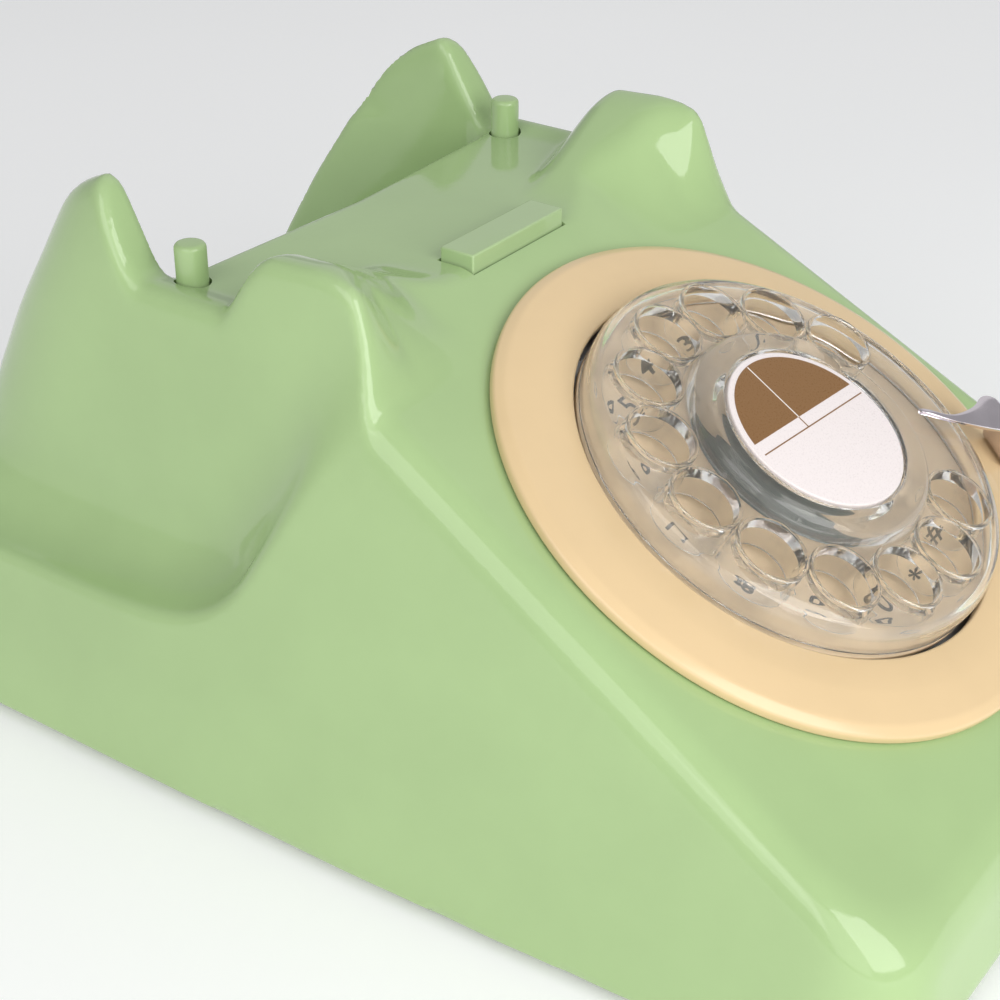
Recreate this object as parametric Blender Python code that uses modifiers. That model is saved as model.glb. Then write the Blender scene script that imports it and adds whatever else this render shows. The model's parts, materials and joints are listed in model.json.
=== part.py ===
"""Rotary desk telephone: moulded case, dial with its mechanism, cradle switch, ringer and circuit.

World frame: +X to the user's right, -Y towards the user, +Z up, origin under the middle of the case.
The dial has its own tilted frame, whose z is the dial's axis, pointing out of the case.
"""
import math

import bmesh
import bpy
import numpy as np
from mathutils import Matrix, Vector

# ---- driving dimensions, in metres -----------------------------------------------------------
DIAL_TILT = math.radians(28.7)
DIAL_CENTRE = Vector((0.0, -0.057, 0.061))      # middle of the dial's ring
GAP = 0.0003                                    # between pieces that touch or rest on each other

RING_RADIUS = 0.0585
RING_INNER = 0.0435
SKIRT_OUTER = 0.0485
SKIRT_INNER = 0.0465
CASE_HOLE = 0.0495
WHEEL_RADIUS = 0.0427
HOLE_CIRCLE = 0.0321
FINGER_HOLE = 0.0062
HOLE_COUNT = 12
FIRST_HOLE = math.radians(20.1)
HOLE_STEP = 2 * math.pi / 14
HUB_RADIUS = 0.0186
SHAFT_RADIUS = 0.003
PINION_SHAFT = 0.0015
SHAFT_HOLE = 0.0036                             # through both dial plates
STOP_THICK = 0.0010

GEAR_TEETH = 32
PINION_TEETH = 8
GEAR_MODULE = 0.00125
GEAR_RADIUS = GEAR_TEETH * GEAR_MODULE / 2
PINION_RADIUS = PINION_TEETH * GEAR_MODULE / 2
PINION_ANGLE = math.radians(150.0)
PINION_DISTANCE = GEAR_RADIUS + PINION_RADIUS + GAP
FRONT_PLATE = (-0.0070, -0.0055)                # dial plates, along the dial's axis
BACK_PLATE = (-0.0252, -0.0240)

BASE_Z = -0.0585                                # case's lower edge, from the dial's centre
WALL = 0.0026                                   # case wall
CRADLE_FLOOR = 0.0304
CRADLE_BACK = 0.1016
CASE_CELL = 0.0030                              # cell of the case surface, before it is thinned out
OUTER_FACES = 2500
INNER_FACES = 1100

PLUNGER_X = 0.0500
PLUNGER_Y = 0.0422
PLUNGER_RADIUS = 0.0030
PLUNGER_HOLE = 0.0035
PLUNGER_TOP = 0.0994
PLUNGER_FOOT = 0.0774
PLUNGER_TRAVEL = 0.0060
LEVER_PIVOT = Vector((0.0, 0.024, 0.076))

RECALL_CENTRE_Y = 0.0072
RECALL_HALF = (0.0150, 0.0039)
RECALL_TOP = 0.0941

PLATE_Z = (0.0025, 0.0045)                      # base plate
FOOT_RADIUS = 0.008
BOSSES = [(-0.050, -0.085), (0.050, -0.085), (-0.044, 0.052), (0.044, 0.052)]
FEET = [(-0.056, -0.098), (0.056, -0.098), (-0.058, 0.095), (0.058, 0.095)]

GONG_X = 0.027
GONG_Y = 0.075
GONG_RADIUS = 0.0215
CLAPPER_PIVOT = Vector((0.0, 0.093, 0.030))
LINE_GLAND = (-0.035, 0.0140)                   # x and z of the cord inlets in the rear wall
HANDSET_GLAND = (0.035, 0.0140)
INLET_RADIUS = 0.0052
BOSS_RADIUS = 0.004                             # screw posts under the case
PILOT_RADIUS = 0.0019


# ---- scene ------------------------------------------------------------------------------------
for old in list(bpy.data.objects):
    bpy.data.objects.remove(old, do_unlink=True)

PARTS = bpy.data.collections.new("rotary_telephone")
CUTTERS = bpy.data.collections.new("cutters")
for group in (PARTS, CUTTERS):
    bpy.context.scene.collection.children.link(group)


def material(name, colour, roughness, metallic=0.0):
    made = bpy.data.materials.new(name)
    made.use_nodes = True
    shader = made.node_tree.nodes["Principled BSDF"]
    shader.inputs["Base Color"].default_value = (*colour, 1.0)
    shader.inputs["Roughness"].default_value = roughness
    shader.inputs["Metallic"].default_value = metallic
    made.diffuse_color = (*colour, 1.0)
    return made


GREEN = ((0.40, 0.58, 0.30), 0.18, 0.0)
BEIGE = ((0.82, 0.68, 0.42), 0.25, 0.0)
TAN = ((0.50, 0.37, 0.25), 0.40, 0.0)
CLEAR = ((0.85, 0.84, 0.80), 0.08, 0.0)
LABEL = ((0.92, 0.88, 0.84), 0.30, 0.0)
TEAL = ((0.10, 0.16, 0.16), 0.35, 0.0)
CHROME = ((0.80, 0.80, 0.80), 0.10, 1.0)
STEEL = ((0.55, 0.56, 0.57), 0.35, 1.0)
BRASS = ((0.72, 0.55, 0.25), 0.30, 1.0)
DARK = ((0.05, 0.05, 0.05), 0.45, 0.0)
RUBBER = ((0.04, 0.04, 0.04), 0.80, 0.0)
BOARD = ((0.25, 0.14, 0.06), 0.50, 0.0)
WINDING = ((0.45, 0.18, 0.07), 0.40, 0.3)
GALVANISED = ((0.60, 0.60, 0.58), 0.45, 1.0)


def empty(name, location, rotation=(0, 0, 0), parent=None):
    made = bpy.data.objects.new(name, None)
    made.empty_display_size = 0.01
    made.location = location
    made.rotation_euler = rotation
    made.parent = parent
    PARTS.objects.link(made)
    return made


def finish(obj, look, parent=None, location=(0, 0, 0), rotation=(0, 0, 0)):
    """Give a piece its own material, its place and its parent."""
    for group in list(obj.users_collection):
        group.objects.unlink(obj)
    PARTS.objects.link(obj)
    obj.data.materials.clear()
    obj.data.materials.append(material(obj.name, *look))
    obj.parent = parent
    obj.location = location
    obj.rotation_euler = rotation
    return obj


def cutter(obj, parent=None, location=(0, 0, 0), rotation=(0, 0, 0)):
    for group in list(obj.users_collection):
        group.objects.unlink(obj)
    CUTTERS.objects.link(obj)
    obj.hide_render = True
    obj.display_type = "WIRE"
    obj.parent = parent
    obj.location = location
    obj.rotation_euler = rotation
    return obj


def boolean(obj, other, operation="DIFFERENCE"):
    modifier = obj.modifiers.new(operation.lower(), "BOOLEAN")
    modifier.operation = operation
    modifier.solver = "EXACT"
    modifier.object = other


def mesh_object(name, fill):
    mesh = bpy.data.meshes.new(name)
    shape = bmesh.new()
    fill(shape)
    shape.to_mesh(mesh)
    shape.free()
    obj = bpy.data.objects.new(name, mesh)
    bpy.context.scene.collection.objects.link(obj)
    return obj


def box(name, size, bevel=0.0):
    """A block round its own middle, with an optional small bevel."""
    scale = Matrix.Diagonal((*size, 1.0))
    obj = mesh_object(name, lambda shape: bmesh.ops.create_cube(shape, size=1.0, matrix=scale))
    if bevel:
        modifier = obj.modifiers.new("edges", "BEVEL")
        modifier.width = bevel
        modifier.segments = 1
    return obj


def rod(name, radius, low, high, sides=16):
    """A cylinder along z, from low to high."""
    middle = Matrix.Translation((0, 0, (low + high) / 2))
    return smooth(mesh_object(name, lambda shape: bmesh.ops.create_cone(
        shape, cap_ends=True, segments=sides, radius1=radius, radius2=radius,
        depth=high - low, matrix=middle)))


def smooth(obj):
    obj.data.shade_smooth()
    obj.data.set_sharp_from_angle(angle=math.radians(40))
    return obj


def turned(name, profile, steps=32, closed=False):
    """A profile of (radius, height) points, turned round z. It runs down its outer side."""
    mesh = bpy.data.meshes.new(name)
    points = [(radius, 0.0, height) for radius, height in profile]
    edges = [(i, i + 1) for i in range(len(points) - 1)]
    if closed:
        edges.append((len(points) - 1, 0))
    mesh.from_pydata(points, edges, [])
    obj = bpy.data.objects.new(name, mesh)
    bpy.context.scene.collection.objects.link(obj)
    screw = obj.modifiers.new("turn", "SCREW")
    screw.steps = steps
    screw.render_steps = steps
    screw.use_merge_vertices = True
    screw.merge_threshold = 0.00001
    screw.use_smooth_shade = True
    return obj


def sheet(name, outline, thickness):
    """A flat piece with one closed outline in x and y, given a thickness about z = 0."""
    mesh = bpy.data.meshes.new(name)
    mesh.from_pydata([(x, y, 0.0) for x, y in outline], [], [range(len(outline))])
    obj = bpy.data.objects.new(name, mesh)
    bpy.context.scene.collection.objects.link(obj)
    solid = obj.modifiers.new("thickness", "SOLIDIFY")
    solid.thickness = thickness
    solid.offset = 0.0
    return obj


def plate(name, outlines, thickness):
    """Closed flat outlines in x and y, the inner ones as holes, given a thickness about z = 0."""
    curve = bpy.data.curves.new(name, "CURVE")
    curve.dimensions = "2D"
    curve.fill_mode = "BOTH"
    curve.extrude = thickness / 2
    for outline in outlines:
        spline = curve.splines.new("POLY")
        spline.points.add(len(outline) - 1)
        for point, (x, y) in zip(spline.points, outline):
            point.co = (x, y, 0.0, 1.0)
        spline.use_cyclic_u = True
    obj = bpy.data.objects.new(name, curve)
    bpy.context.scene.collection.objects.link(obj)
    return obj


def circle(radius, sides=16, centre=(0.0, 0.0)):
    turn = 2 * math.pi / sides
    return [(centre[0] + radius * math.cos(i * turn), centre[1] + radius * math.sin(i * turn))
            for i in range(sides)]


def cog(teeth, radius, tooth, turn=0.0):
    """A toothed outline. A tooth points along +x when turn is 0."""
    points = []
    pitch = 2 * math.pi / teeth
    for i in range(teeth):
        for offset, reach in ((-0.30, -tooth), (-0.12, tooth), (0.12, tooth), (0.30, -tooth)):
            angle = turn + (i + offset) * pitch
            points.append(((radius + reach) * math.cos(angle), (radius + reach) * math.sin(angle)))
    return points


# ---- case: a smooth blend of slopes, walls and hollows -----------------------------------------
def blend_max(a, b, width):
    """The larger of two values, rounded over where they meet."""
    share = np.clip(0.5 + 0.5 * (a - b) / width, 0, 1)
    return b + (a - b) * share + width * share * (1 - share)


def blend_min(a, b, width):
    return -blend_max(-a, -b, width)


def ramp(value, start, end):
    share = np.clip((value - start) / (end - start), 0, 1)
    return share * share * (3 - 2 * share)


def case_top(x, y):
    """Height of the case's upper surface: the dial's slope, the cradle floor and its four horns."""
    slope = y * math.tan(DIAL_TILT) - 0.0028 / math.cos(DIAL_TILT)
    valley = 0.0160 * ramp(y, 0.0450, 0.0650) * ramp(x, 0.0300, 0.0560)
    shoulder = valley + (0.0172 - valley) * ramp(y, 0.0490, 0.0545) * ramp(x, 0.0515, 0.0570)
    front_horn = blend_min(0.0446 - 0.06 * (y - 0.058), 0.0437 - 1.55 * (y - 0.0760), 0.005)
    front_horn = front_horn - 0.50 * blend_max(0.0525 - x, 0 * x, 0.004)
    back_horn = blend_min(0.0480 - 0.40 * (y - 0.118), 0.0312 + 1.8 * (y - 0.1064), 0.005)
    back_horn = back_horn - 7 * blend_max(0.0495 - x, 0 * x, 0.001)
    floor = CRADLE_FLOOR + 0.0012 * ramp(x, 0.050, 0.056)
    cradle = blend_max(blend_max(floor, front_horn, 0.003), back_horn, 0.005)
    return blend_min(slope + shoulder, cradle, 0.0012 + 0.0040 * ramp(x, 0.030, 0.056))


def case_skin(x, y, z, low=BASE_Z):
    """Negative inside the case. The coordinates are measured from the dial's centre."""
    x = np.sqrt(x * x + 1e-8)
    top = (z - case_top(x, y)) * 0.8
    flare = 0.0846 - 0.25 * np.minimum(y - 0.090, 0) ** 2
    side = flare - (0.270 + 0.35 * (0.0495 - y)) * (z - BASE_Z)
    upper_side = 0.0592 + 0.045 * (0.040 - z)
    sides = (x - blend_max(side, upper_side, 0.001)) * 0.966
    front = -(y + 0.066) + 0.12 * (z - BASE_Z)
    rear_upper = (y - (0.138 - 0.5625 * (z - 0.0387))) * 0.872
    rear_lower = y - (0.180 - 0.08 * (z - BASE_Z))
    rear = blend_max(rear_upper, rear_lower, 0.014)
    walls = blend_max(blend_max(sides, rear, 0.028), front, 0.016)
    panel = blend_max(x - upper_side, (y - 0.1415 + 0.5 * (z - 0.0387)) * 0.89, 0.030)
    hand_pocket = blend_max(-panel, (0.0389 + (0.035 - z) * 0.618 - y) * 0.85, 0.024)
    hand_pocket = blend_max(hand_pocket, -0.0275 - z, 0.020)
    recess = blend_max(CRADLE_BACK + 0.05 * x - y, x - (0.0505 - 0.12 * (y - 0.104)), 0.006)
    recess = blend_max(recess, -0.014 - 0.12 * (y - 0.140) - z, 0.012)
    edge = 0.0055 - 0.0027 * ramp(y, 0.045, 0.060)
    skin = blend_max(walls, top, edge)
    skin = blend_max(skin, -hand_pocket, 0.0025)
    skin = blend_max(skin, -recess, 0.003)
    return blend_max(skin, low - z, 0.001)


def cavity_skin(x, y, z):
    """Negative inside the room in the case, which runs out below the base."""
    return case_skin(x, y, z, low=BASE_Z - 0.02) + WALL


def surface_mesh(skin, low, high, cell):
    """Points and faces of the surface where skin is zero: one point in each cell it crosses."""
    counts = [int(math.ceil((high[i] - low[i]) / cell)) + 1 for i in range(3)]
    grid = np.meshgrid(*[low[i] + cell * np.arange(counts[i]) for i in range(3)], indexing="ij")
    value = skin(*grid)
    inside = value < 0
    corners = [(i, j, k) for i in (0, 1) for j in (0, 1) for k in (0, 1)]
    corner_sum = sum(inside[i:counts[0] - 1 + i, j:counts[1] - 1 + j, k:counts[2] - 1 + k].astype(int)
                     for i, j, k in corners)
    crossed = (corner_sum > 0) & (corner_sum < 8)
    index = np.full(crossed.shape, -1)
    index[crossed] = np.arange(crossed.sum())
    cells = np.stack(np.nonzero(crossed), 1)
    points = np.zeros((len(cells), 3))
    hits = np.zeros(len(cells))
    for i, first in enumerate(corners):
        for second in corners[i + 1:]:
            step = np.subtract(second, first)
            if np.abs(step).sum() != 1:
                continue
            start = value[tuple((cells + first).T)]
            end = value[tuple((cells + second).T)]
            meets = (start < 0) != (end < 0)
            share = np.where(meets, start / np.where(meets, start - end, 1.0), 0.0)
            points += meets[:, None] * (np.array(first) + step * share[:, None])
            hits += meets
    points = np.array(low) + cell * (cells + points / hits[:, None])
    faces = []
    for axis in range(3):
        step = np.eye(3, dtype=int)[axis]
        ends = [slice(0, counts[i] - step[i]) for i in range(3)]
        starts = [slice(step[i], counts[i]) for i in range(3)]
        edge = np.stack(np.nonzero(inside[tuple(ends)] != inside[tuple(starts)]), 1)
        across, along = [i for i in range(3) if i != axis]
        ring = []
        for a, b in ((0, 0), (1, 0), (1, 1), (0, 1)):
            cell_index = edge.copy()
            cell_index[:, across] -= a
            cell_index[:, along] -= b
            ring.append(index[tuple(cell_index.T)])
        ring = np.stack(ring, 1)
        leaving = inside[tuple(edge.T)]
        flip = leaving if axis == 1 else ~leaving
        ring[flip] = ring[flip][:, ::-1]
        faces.append(ring)
    return points, np.concatenate(faces)


def settle(skin, points, rounds=3):
    """Move each point onto the surface where skin is zero."""
    reach = 0.00002
    for _ in range(rounds):
        slope = np.stack([(skin(*(points + step).T) - skin(*(points - step).T)) / (2 * reach)
                          for step in np.eye(3) * reach], 1)
        size = np.maximum((slope * slope).sum(1), 0.05)
        points = points - slope * (skin(*points.T) / size)[:, None]
    return points


def skin_object(name, skin, face_count):
    points, faces = surface_mesh(skin, (-0.0975, -0.0775, -0.0975), (0.0975, 0.1925, 0.0625), CASE_CELL)
    points = settle(skin, points) + np.array(DIAL_CENTRE)
    mesh = bpy.data.meshes.new(name)
    mesh.from_pydata(points.tolist(), [], faces.tolist())
    obj = bpy.data.objects.new(name, mesh)
    bpy.context.scene.collection.objects.link(obj)
    fewer = obj.modifiers.new("fewer faces", "DECIMATE")
    fewer.ratio = face_count / (2 * len(faces))
    return obj


def rear_wall(x, z):
    """How far back the case's rear wall stands at x and z."""
    near, far = 0.09, 0.15
    for _ in range(30):
        y = (near + far) / 2
        outside = case_skin(x, y - DIAL_CENTRE.y, z - DIAL_CENTRE.z) > 0
        near, far = (near, y) if outside else (y, far)
    return near


def inlet_place(x, z):
    """Point on the rear wall, and the turn that points z out of it."""
    reach = 0.005
    lean = (rear_wall(x, z - reach) - rear_wall(x, z + reach)) / (2 * reach)
    return (x, rear_wall(x, z), z), (math.atan(lean) - math.pi / 2, 0, 0)


def case_outline(height, inset, count=64):
    """The case's plan at a height, moved in by inset, as points round the origin."""
    centre = np.array(DIAL_CENTRE)
    points = []
    for i in range(count):
        angle = 2 * math.pi * (i + 0.5) / count
        near, far = 0.03, 0.20
        for _ in range(30):
            reach = (near + far) / 2
            x, y, z = np.array((reach * math.cos(angle), reach * math.sin(angle), height)) - centre
            outside = case_skin(x, y, z, low=-1.0) + inset > 0
            near, far = (near, reach) if outside else (reach, far)
        points.append((near * math.cos(angle), near * math.sin(angle)))
    return points


dial = empty("dial_frame", DIAL_CENTRE, (DIAL_TILT, 0, 0))


def make_case():
    shell = finish(skin_object("case_shell", case_skin, OUTER_FACES), GREEN)
    shell.data.shade_smooth()
    boolean(shell, cutter(skin_object("case_room", cavity_skin, INNER_FACES)))
    for number, (x, y) in enumerate(BOSSES, 1):
        post = cutter(rod(f"boss_{number}", BOSS_RADIUS, PLATE_Z[1] + GAP, 0.0505 if y > 0 else 0.041, 12),
                      location=(x, y, 0))
        boolean(shell, post, "UNION")
        boolean(shell, cutter(rod(f"pilot_{number}", PILOT_RADIUS, 0.0, 0.014, 8), location=(x, y, 0)))
    boolean(shell, cutter(rod("dial_opening", CASE_HOLE, -0.02, 0.02, 40), parent=dial))
    for side in (-1, 1):
        boolean(shell, cutter(rod(f"plunger_hole_{side}", PLUNGER_HOLE, 0.069, 0.105, 16),
                              location=(side * PLUNGER_X, PLUNGER_Y, 0)))
    boolean(shell, cutter(box("recall_slot", (2 * RECALL_HALF[0] + 0.001, 2 * RECALL_HALF[1] + 0.001, 0.012)),
                          location=(0, RECALL_CENTRE_Y, 0.0915)))
    for name, inlet in (("line_inlet", LINE_GLAND), ("handset_inlet", HANDSET_GLAND)):
        place, turn = inlet_place(*inlet)
        boolean(shell, cutter(rod(name, INLET_RADIUS, -0.01, 0.01, 16), location=place, rotation=turn))


def make_base():
    obj = sheet("base_plate", case_outline(PLATE_Z[0], WALL + 0.0009), PLATE_Z[1] - PLATE_Z[0])
    finish(obj, GALVANISED, location=(0, 0, sum(PLATE_Z) / 2))
    for number, (x, y) in enumerate(BOSSES, 1):
        boolean(obj, cutter(rod(f"screw_hole_{number}", 0.0022, 0.0, 0.008, 8), location=(x, y, 0)))
        screw = turned(f"case_screw_{number}", [(0, 0.012), (0.0016, 0.012), (0.0016, 0.0022),
                                                (0.0038, 0.0022), (0.0032, 0.0006), (0, 0.0006)], 12)
        finish(screw, STEEL, location=(x, y, 0))
    for number, (x, y) in enumerate(FEET, 1):
        foot = turned(f"foot_{number}", [(0, PLATE_Z[0] - GAP), (FOOT_RADIUS, PLATE_Z[0] - GAP),
                                         (FOOT_RADIUS, 0.0008), (FOOT_RADIUS - 0.0008, 0), (0, 0)], 20)
        finish(foot, RUBBER, location=(x, y, 0))


def make_dial_face():
    ring = turned("dial_surround", [
        (RING_INNER, 0.0015), (0.0500, 0.0013), (0.0562, 0.0007), (0.0579, 0.0001),
        (RING_RADIUS, -0.0009), (RING_RADIUS, -0.0025), (SKIRT_OUTER, -0.0025),
        (SKIRT_OUTER, -0.0090), (SKIRT_INNER, -0.0090), (SKIRT_INNER, -0.0015),
        (RING_INNER, -0.0015)], 44, closed=True)
    finish(ring, BEIGE, dial)
    number_plate = turned("number_plate", [(0.009, 0.0003), (0.0422, 0.0003), (0.0426, -0.0001),
                                           (0.0426, -0.0008), (0.009, -0.0008)], 36, closed=True)
    finish(number_plate, TAN, dial)
    wheel = turned("finger_wheel", [
        (0.0060, 0.0102), (0.0186, 0.0102), (0.0186, 0.0121), (0.0191, 0.0125), (0.0232, 0.0125),
        (0.0242, 0.0118), (0.0249, 0.0089), (0.0260, 0.0086), (0.0396, 0.0086), (0.0414, 0.0076),
        (0.0424, 0.0054), (WHEEL_RADIUS, 0.0013), (0.0413, 0.0013), (0.0410, 0.0050),
        (0.0400, 0.0066), (0.0195, 0.0066), (0.0185, 0.0083), (0.0060, 0.0083)], 40, closed=True)
    finish(wheel, CLEAR, dial)
    for number in range(HOLE_COUNT):
        angle = FIRST_HOLE + number * HOLE_STEP
        hole = rod(f"finger_hole_{number + 1}", FINGER_HOLE, 0.004, 0.011, 12)
        place = (HOLE_CIRCLE * math.cos(angle), HOLE_CIRCLE * math.sin(angle), 0)
        boolean(wheel, cutter(hole, parent=dial, location=place))
    finish(turned("label_disc", [(0, 0.0126), (0.0150, 0.0126), (0.0182, 0.0123),
                                 (0.0182, 0.0105), (0, 0.0105)], 32), LABEL, dial)
    finish(turned("hub_screw", [(0, 0.0099), (0.0050, 0.0099), (0.0054, 0.0094), (0.0054, 0.0083),
                                (0.0013, 0.0083), (0.0013, 0.0026), (0, 0.0026)], 16), BRASS, dial)
    finish(turned("dial_hub", [(0.0033, 0.0080), (0.0150, 0.0080), (0.0160, 0.0074), (0.0160, 0.0010),
                               (0.0033, 0.0010)], 24, closed=True), TEAL, dial)
    finish(turned("main_shaft", [(0, 0.0020), (0.0016, 0.0020), (0.0016, 0.0079),
                                 (SHAFT_RADIUS, 0.0079), (SHAFT_RADIUS, -0.0280), (0, -0.0280)], 16),
           STEEL, dial)


def stop_rows():
    """Rows across the leaf from tip to foot: near edge, far edge, height, inward and downward thickness."""
    tongue = [((0.0284, -0.0099), (0.0292, -0.0092), 0.0107), ((0.0289, -0.0112), (0.0301, -0.0106), 0.0112),
              ((0.0305, -0.0136), (0.0317, -0.0130), 0.0112), ((0.0328, -0.0160), (0.0340, -0.0147), 0.0112),
              ((0.0366, -0.0194), (0.0394, -0.0160), 0.0112), ((0.0407, -0.0230), (0.0447, -0.0157), 0.0112)]
    rows = [(near, far, height, 0, STOP_THICK) for near, far, height in tongue]
    thick = STOP_THICK
    bend = [(0.0511, -30.6, -19.3, 0.0112, 0.2 * thick, thick),
            (0.0530, -31.0, -20.6, 0.0104, 0.7 * thick, 0.7 * thick),
            (0.0539, -31.2, -21.4, 0.0082, thick, 0.2 * thick),
            (0.0543, -31.2, -21.8, 0.0032, thick, 0.4 * thick),
            (0.0552, -31.2, -22.0, 0.0020, 1.2 * thick, thick),
            (0.0570, -30.6, -22.6, 0.0017, 0, thick)]
    for radius, near, far, height, inward, down in bend:
        ends = [(radius * math.cos(math.radians(turn)), radius * math.sin(math.radians(turn)))
                for turn in (near, far)]
        rows.append((ends[0], ends[1], height, inward, down))
    return rows


def make_finger_stop():
    """A chromed leaf: a foot on the ring, a bend outside the wheel, and a tongue in over the wheel."""
    points, faces = [], []
    rows = stop_rows()
    for near, far, height, inward, down in rows:
        for x, y in (near, far):
            shrink = 1 - inward / math.hypot(x, y)
            points += [(x, y, height), (x * shrink, y * shrink, height - down)]
    loop = (0, 2, 3, 1)
    for i in range(len(rows) - 1):
        for j in range(4):
            here, there = 4 * i + loop[j], 4 * i + loop[(j + 1) % 4]
            faces += [(here, there + 4, there), (here, here + 4, there + 4)]
    last = 4 * (len(rows) - 1)
    faces += [(0, 3, 1), (0, 2, 3), (last, last + 3, last + 2), (last, last + 1, last + 3)]
    mesh = bpy.data.meshes.new("finger_stop")
    mesh.from_pydata(points, [], faces)
    stop = bpy.data.objects.new("finger_stop", mesh)
    bpy.context.scene.collection.objects.link(stop)
    finish(stop, CHROME, dial)


def make_dial_train():
    plate_thickness = FRONT_PLATE[1] - FRONT_PLATE[0]
    finish(plate("dial_front_plate", [circle(SKIRT_INNER - GAP, 40), circle(SHAFT_HOLE)], plate_thickness),
           STEEL, dial, (0, 0, sum(FRONT_PLATE) / 2))
    finish(plate("dial_back_plate", [circle(0.038, 32), circle(SHAFT_HOLE)], BACK_PLATE[1] - BACK_PLATE[0]),
           STEEL, dial, (0, 0, sum(BACK_PLATE) / 2))
    low = BACK_PLATE[1] + GAP
    high = FRONT_PLATE[0] - GAP
    for number in range(3):
        angle = math.radians(90 + 120 * number)
        place = (0.034 * math.cos(angle), 0.034 * math.sin(angle), 0)
        finish(rod(f"dial_pillar_{number + 1}", 0.0022, low, high, 12), BRASS, dial, place)
        screw = turned(f"dial_screw_{number + 1}", [(0, BACK_PLATE[0] - GAP), (0.003, BACK_PLATE[0] - GAP),
                                                    (0.003, -0.0270), (0, -0.0275)], 12)
        finish(screw, STEEL, dial, place)
    turn = PINION_ANGLE
    gear = [cog(GEAR_TEETH, GEAR_RADIUS, 0.0009, turn), circle(SHAFT_RADIUS + GAP)]
    finish(plate("main_gear", gear, 0.0015), BRASS, dial, (0, 0, -0.0100))
    pinion_place = (PINION_DISTANCE * math.cos(turn), PINION_DISTANCE * math.sin(turn), 0)
    axis = empty("pinion_axis", pinion_place, parent=dial)
    half_tooth = math.pi / PINION_TEETH
    bore = circle(PINION_SHAFT + GAP, 12)
    pinion = [cog(PINION_TEETH, PINION_RADIUS - 0.0003, 0.0007, turn + math.pi + half_tooth), bore]
    finish(plate("pinion", pinion, 0.0030), BRASS, axis, (0, 0, -0.0100))
    finish(rod("pinion_shaft", PINION_SHAFT, low, high, 12), STEEL, axis)
    finish(plate("impulse_cam", [cog(2, 0.0065, 0.0012), bore], 0.0016), DARK, axis, (0, 0, -0.0140))
    finish(plate("worm_wheel", [cog(24, 0.0072, 0.0004), bore], 0.0018), BRASS, axis, (0, 0, -0.0200))
    spring_turns = 3
    steps = 11 * spring_turns
    strip = []
    for edge in (0.00025, -0.00025):
        side = []
        for i in range(steps + 1):
            angle = 2 * math.pi * i / 11
            reach = 0.0050 + 0.0090 * i / steps + edge
            side.append((reach * math.cos(angle), reach * math.sin(angle)))
        strip += side if edge > 0 else list(reversed(side))
    finish(sheet("return_spring", strip, 0.0040), STEEL, dial, (0, 0, -0.0170))


def make_governor():
    """A worm shaft with a flyweight disc, across the worm wheel, turning in a fixed cup."""
    wheel = bpy.data.objects["pinion_axis"]
    reach = 0.0072 + 0.0022 + 2 * GAP + 0.0006
    axis = empty("governor_axis", (wheel.location.x - reach, wheel.location.y, -0.0200),
                 (math.pi / 2, 0, 0), dial)
    shaft = turned("governor", [(0, 0.0080), (0.0012, 0.0080), (0.0012, 0.0050), (0.0022, 0.0045),
                                (0.0022, -0.0045), (0.0012, -0.0050), (0.0012, -0.0095),
                                (0.0030, -0.0095), (0.0030, -0.0135), (0, -0.0135)], 16)
    finish(shaft, BRASS, axis)
    cup = turned("governor_cup", [(0, -0.0142), (0.0036, -0.0142), (0.0036, -0.0095), (0.0044, -0.0095),
                                  (0.0044, -0.0152), (0, -0.0152)], 20)
    finish(cup, STEEL, axis)


def make_dial_contacts():
    """Insulating block and two leaf springs that the impulse cam opens."""
    finish(box("contact_block", (0.010, 0.008, 0.008), 0.0004), DARK, dial, (0.005, 0.0275, -0.0145))
    for number, height in ((1, -0.0132), (2, -0.0158)):
        leaf = box(f"contact_leaf_{number}", (0.0110, 0.0040, 0.0005))
        finish(leaf, BRASS, dial, (-0.0060, 0.0275, height))


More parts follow.
